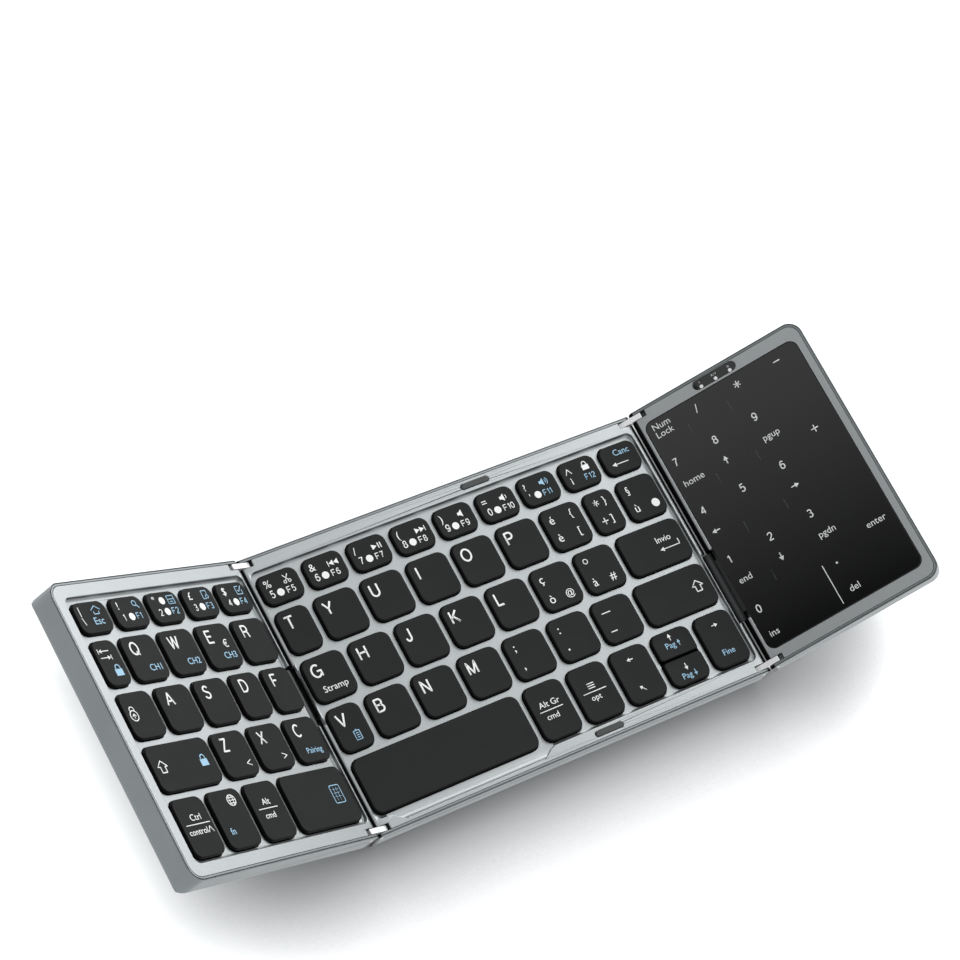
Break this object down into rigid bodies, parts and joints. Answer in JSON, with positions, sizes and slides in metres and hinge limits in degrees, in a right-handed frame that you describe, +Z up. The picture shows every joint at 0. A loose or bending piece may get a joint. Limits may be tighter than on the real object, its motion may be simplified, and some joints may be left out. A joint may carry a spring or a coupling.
{
  "type": "folding keyboard",
  "caption": "Slim pocket keyboard with scissor keys that folds in three: two wings on double-pivot links, one of them a touch number pad.",
  "frame": {"origin": "bottom centre of the whole box with the wings raised, on the surface that the middle panel's feet stand on", "axes": "+X along the keyboard to the right wing, +Y towards the rear edge, +Z up from the keys"},
  "size_m": [0.2876, 0.098, 0.0535],
  "materials": {
    "left_case": "satin grey anodised finish, left wing",
    "middle_case": "satin grey anodised finish, middle panel",
    "right_case": "satin grey anodised finish, right wing",
    "tray": "satin grey anodised finish, underside and walls",
    "keycap": "fine matt black moulded caps",
    "glass": "black gloss touch glass",
    "window": "smoked clear window",
    "lamp": "white lamps",
    "link": "polished steel links",
    "steel": "bare steel",
    "cover": "matt black cable cover",
    "cable": "black film cable",
    "rubber": "dark grey rubber",
    "dome": "pale silicone domes",
    "scissor": "pale plastic scissor arms",
    "membrane": "clear film membrane",
    "board": "green circuit board",
    "battery": "silver battery pouch",
    "magnet": "plated magnets"
  },
  "bodies": {
    "middle_panel": {"middle_tray": "tray", "middle_top_plate": "middle_case", "middle_key_plate": "steel", "middle_membrane": "membrane", "middle_domes": "dome", "middle_scissors": "scissor", "main_board": "board", "middle_hinge_pins": "steel", "middle_screws": "steel", "middle_feet": "rubber", "rim_stops": "rubber"},
    "left_hinge": {"left_links": "link", "left_cable_cover": "cover", "left_cable": "cable"},
    "left_wing": {"left_tray": "tray", "left_top_plate": "left_case", "left_key_plate": "steel", "left_membrane": "membrane", "left_domes": "dome", "left_scissors": "scissor", "left_connector_board": "board", "left_hinge_pins": "steel", "left_screws": "steel", "left_feet": "rubber", "left_magnets": "magnet"},
    "right_hinge": {"right_links": "link", "right_cable_cover": "cover", "right_cable": "cable"},
    "right_wing": {"right_tray": "tray", "right_top_plate": "right_case", "touch_glass": "glass", "touch_board": "board", "light_window": "window", "status_lights": "lamp", "battery": "battery", "charge_board": "board", "charge_socket": "steel", "right_hinge_pins": "steel", "right_screws": "steel", "right_feet": "rubber", "right_magnets": "magnet"},
    "left_number_keys": {"left_number_keys": "keycap"},
    "left_upper_keys": {"left_upper_keys": "keycap"},
    "left_home_keys": {"left_home_keys": "keycap"},
    "left_lower_keys": {"left_lower_keys": "keycap"},
    "left_shift_key": {"left_shift_key": "keycap"},
    "left_modifier_keys": {"left_modifier_keys": "keycap"},
    "left_space_key": {"left_space_key": "keycap"},
    "middle_number_keys": {"middle_number_keys": "keycap"},
    "middle_upper_keys": {"middle_upper_keys": "keycap"},
    "middle_home_keys": {"middle_home_keys": "keycap"},
    "middle_lower_keys": {"middle_lower_keys": "keycap"},
    "middle_modifier_keys": {"middle_modifier_keys": "keycap"},
    "enter_key": {"enter_key": "keycap"},
    "right_shift_key": {"right_shift_key": "keycap"},
    "space_key": {"space_key": "keycap"},
    "arrow_left_key": {"arrow_left_key": "keycap"},
    "arrow_up_key": {"arrow_up_key": "keycap"},
    "arrow_down_key": {"arrow_down_key": "keycap"},
    "arrow_right_key": {"arrow_right_key": "keycap"}
  },
  "joints": [
    {"name": "left_inner_hinge", "type": "hinge", "parent": "middle_panel", "child": "left_hinge", "pos_m": [-0.06145, 0, 0.0071], "axis": [0, 1, 0], "range_deg": [-29, 61], "deforming": ["left_cable"]},
    {"name": "left_outer_hinge", "type": "hinge", "parent": "left_hinge", "child": "left_wing", "pos_m": [-0.06618, 0, 0.00972], "axis": [0, 1, 0], "range_deg": [0, 90]},
    {"name": "right_inner_hinge", "type": "hinge", "parent": "middle_panel", "child": "right_hinge", "pos_m": [0.08625, 0, 0.0071], "axis": [0, -1, 0], "range_deg": [-35, 55], "deforming": ["right_cable"]},
    {"name": "right_outer_hinge", "type": "hinge", "parent": "right_hinge", "child": "right_wing", "pos_m": [0.09067, 0, 0.0102], "axis": [0, -1, 0], "range_deg": [0, 90]},
    {"name": "left_number_keys_press", "type": "slide", "parent": "left_wing", "child": "left_number_keys", "axis": [0.4848, 0, 0.8746], "range_m": [-0.0013, 0], "stiffness_N_per_m": 1500, "springref_m": 0.0003, "deforming": ["left_domes", "left_scissors"]},
    {"name": "left_upper_keys_press", "type": "slide", "parent": "left_wing", "child": "left_upper_keys", "axis": [0.4848, 0, 0.8746], "range_m": [-0.0013, 0], "stiffness_N_per_m": 1500, "springref_m": 0.0003},
    {"name": "left_home_keys_press", "type": "slide", "parent": "left_wing", "child": "left_home_keys", "axis": [0.4848, 0, 0.8746], "range_m": [-0.0013, 0], "stiffness_N_per_m": 1500, "springref_m": 0.0003},
    {"name": "left_lower_keys_press", "type": "slide", "parent": "left_wing", "child": "left_lower_keys", "axis": [0.4848, 0, 0.8746], "range_m": [-0.0013, 0], "stiffness_N_per_m": 900, "springref_m": 0.0003},
    {"name": "left_shift_key_press", "type": "slide", "parent": "left_wing", "child": "left_shift_key", "axis": [0.4848, 0, 0.8746], "range_m": [-0.0013, 0], "stiffness_N_per_m": 300, "springref_m": 0.0003},
    {"name": "left_modifier_keys_press", "type": "slide", "parent": "left_wing", "child": "left_modifier_keys", "axis": [0.4848, 0, 0.8746], "range_m": [-0.0013, 0], "stiffness_N_per_m": 900, "springref_m": 0.0003},
    {"name": "left_space_key_press", "type": "slide", "parent": "left_wing", "child": "left_space_key", "axis": [0.4848, 0, 0.8746], "range_m": [-0.0013, 0], "stiffness_N_per_m": 300, "springref_m": 0.0003},
    {"name": "middle_number_keys_press", "type": "slide", "parent": "middle_panel", "child": "middle_number_keys", "axis": [0, 0, 1], "range_m": [-0.0013, 0], "stiffness_N_per_m": 2700, "springref_m": 0.0003, "deforming": ["middle_domes", "middle_scissors"]},
    {"name": "middle_upper_keys_press", "type": "slide", "parent": "middle_panel", "child": "middle_upper_keys", "axis": [0, 0, 1], "range_m": [-0.0013, 0], "stiffness_N_per_m": 2700, "springref_m": 0.0003},
    {"name": "middle_home_keys_press", "type": "slide", "parent": "middle_panel", "child": "middle_home_keys", "axis": [0, 0, 1], "range_m": [-0.0013, 0], "stiffness_N_per_m": 2100, "springref_m": 0.0003},
    {"name": "middle_lower_keys_press", "type": "slide", "parent": "middle_panel", "child": "middle_lower_keys", "axis": [0, 0, 1], "range_m": [-0.0013, 0], "stiffness_N_per_m": 2100, "springref_m": 0.0003},
    {"name": "middle_modifier_keys_press", "type": "slide", "parent": "middle_panel", "child": "middle_modifier_keys", "axis": [0, 0, 1], "range_m": [-0.0013, 0], "stiffness_N_per_m": 600, "springref_m": 0.0003},
    {"name": "enter_key_press", "type": "slide", "parent": "middle_panel", "child": "enter_key", "axis": [0, 0, 1], "range_m": [-0.0013, 0], "stiffness_N_per_m": 300, "springref_m": 0.0003},
    {"name": "right_shift_key_press", "type": "slide", "parent": "middle_panel", "child": "right_shift_key", "axis": [0, 0, 1], "range_m": [-0.0013, 0], "stiffness_N_per_m": 300, "springref_m": 0.0003},
    {"name": "space_key_press", "type": "slide", "parent": "middle_panel", "child": "space_key", "axis": [0, 0, 1], "range_m": [-0.0013, 0], "stiffness_N_per_m": 300, "springref_m": 0.0003},
    {"name": "arrow_left_key_press", "type": "slide", "parent": "middle_panel", "child": "arrow_left_key", "axis": [0, 0, 1], "range_m": [-0.0013, 0], "stiffness_N_per_m": 300, "springref_m": 0.0003},
    {"name": "arrow_up_key_press", "type": "slide", "parent": "middle_panel", "child": "arrow_up_key", "axis": [0, 0, 1], "range_m": [-0.0013, 0], "stiffness_N_per_m": 300, "springref_m": 0.0003},
    {"name": "arrow_down_key_press", "type": "slide", "parent": "middle_panel", "child": "arrow_down_key", "axis": [0, 0, 1], "range_m": [-0.0013, 0], "stiffness_N_per_m": 300, "springref_m": 0.0003},
    {"name": "arrow_right_key_press", "type": "slide", "parent": "middle_panel", "child": "arrow_right_key", "axis": [0, 0, 1], "range_m": [-0.0013, 0], "stiffness_N_per_m": 300, "springref_m": 0.0003}
  ]
}
